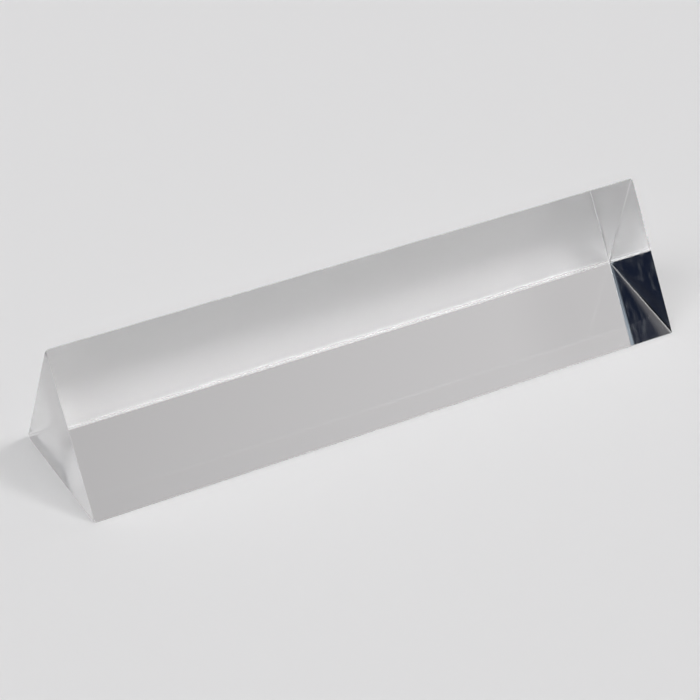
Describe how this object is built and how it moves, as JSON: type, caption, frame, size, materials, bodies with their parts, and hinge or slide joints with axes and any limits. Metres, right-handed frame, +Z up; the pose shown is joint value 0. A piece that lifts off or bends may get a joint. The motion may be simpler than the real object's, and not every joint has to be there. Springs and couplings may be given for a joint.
{
  "type": "equilateral prism",
  "caption": "Slim bar of clear polished glass with an equilateral-triangle cross-section, lying on one long face; bends light and splits it into colours, or reflects it inside.",
  "frame": {"origin": "middle of the long face that the prism rests on", "axes": "+X along the length, +Y from the front long face's side towards the back one's, +Z up through the apex edge"},
  "size_m": [0.1, 0.0256, 0.0221],
  "materials": {
    "optical_glass": "polished clear crown glass with fine ground arrises"
  },
  "bodies": {
    "root": {"glass_prism": "optical_glass"}
  },
  "joints": []
}
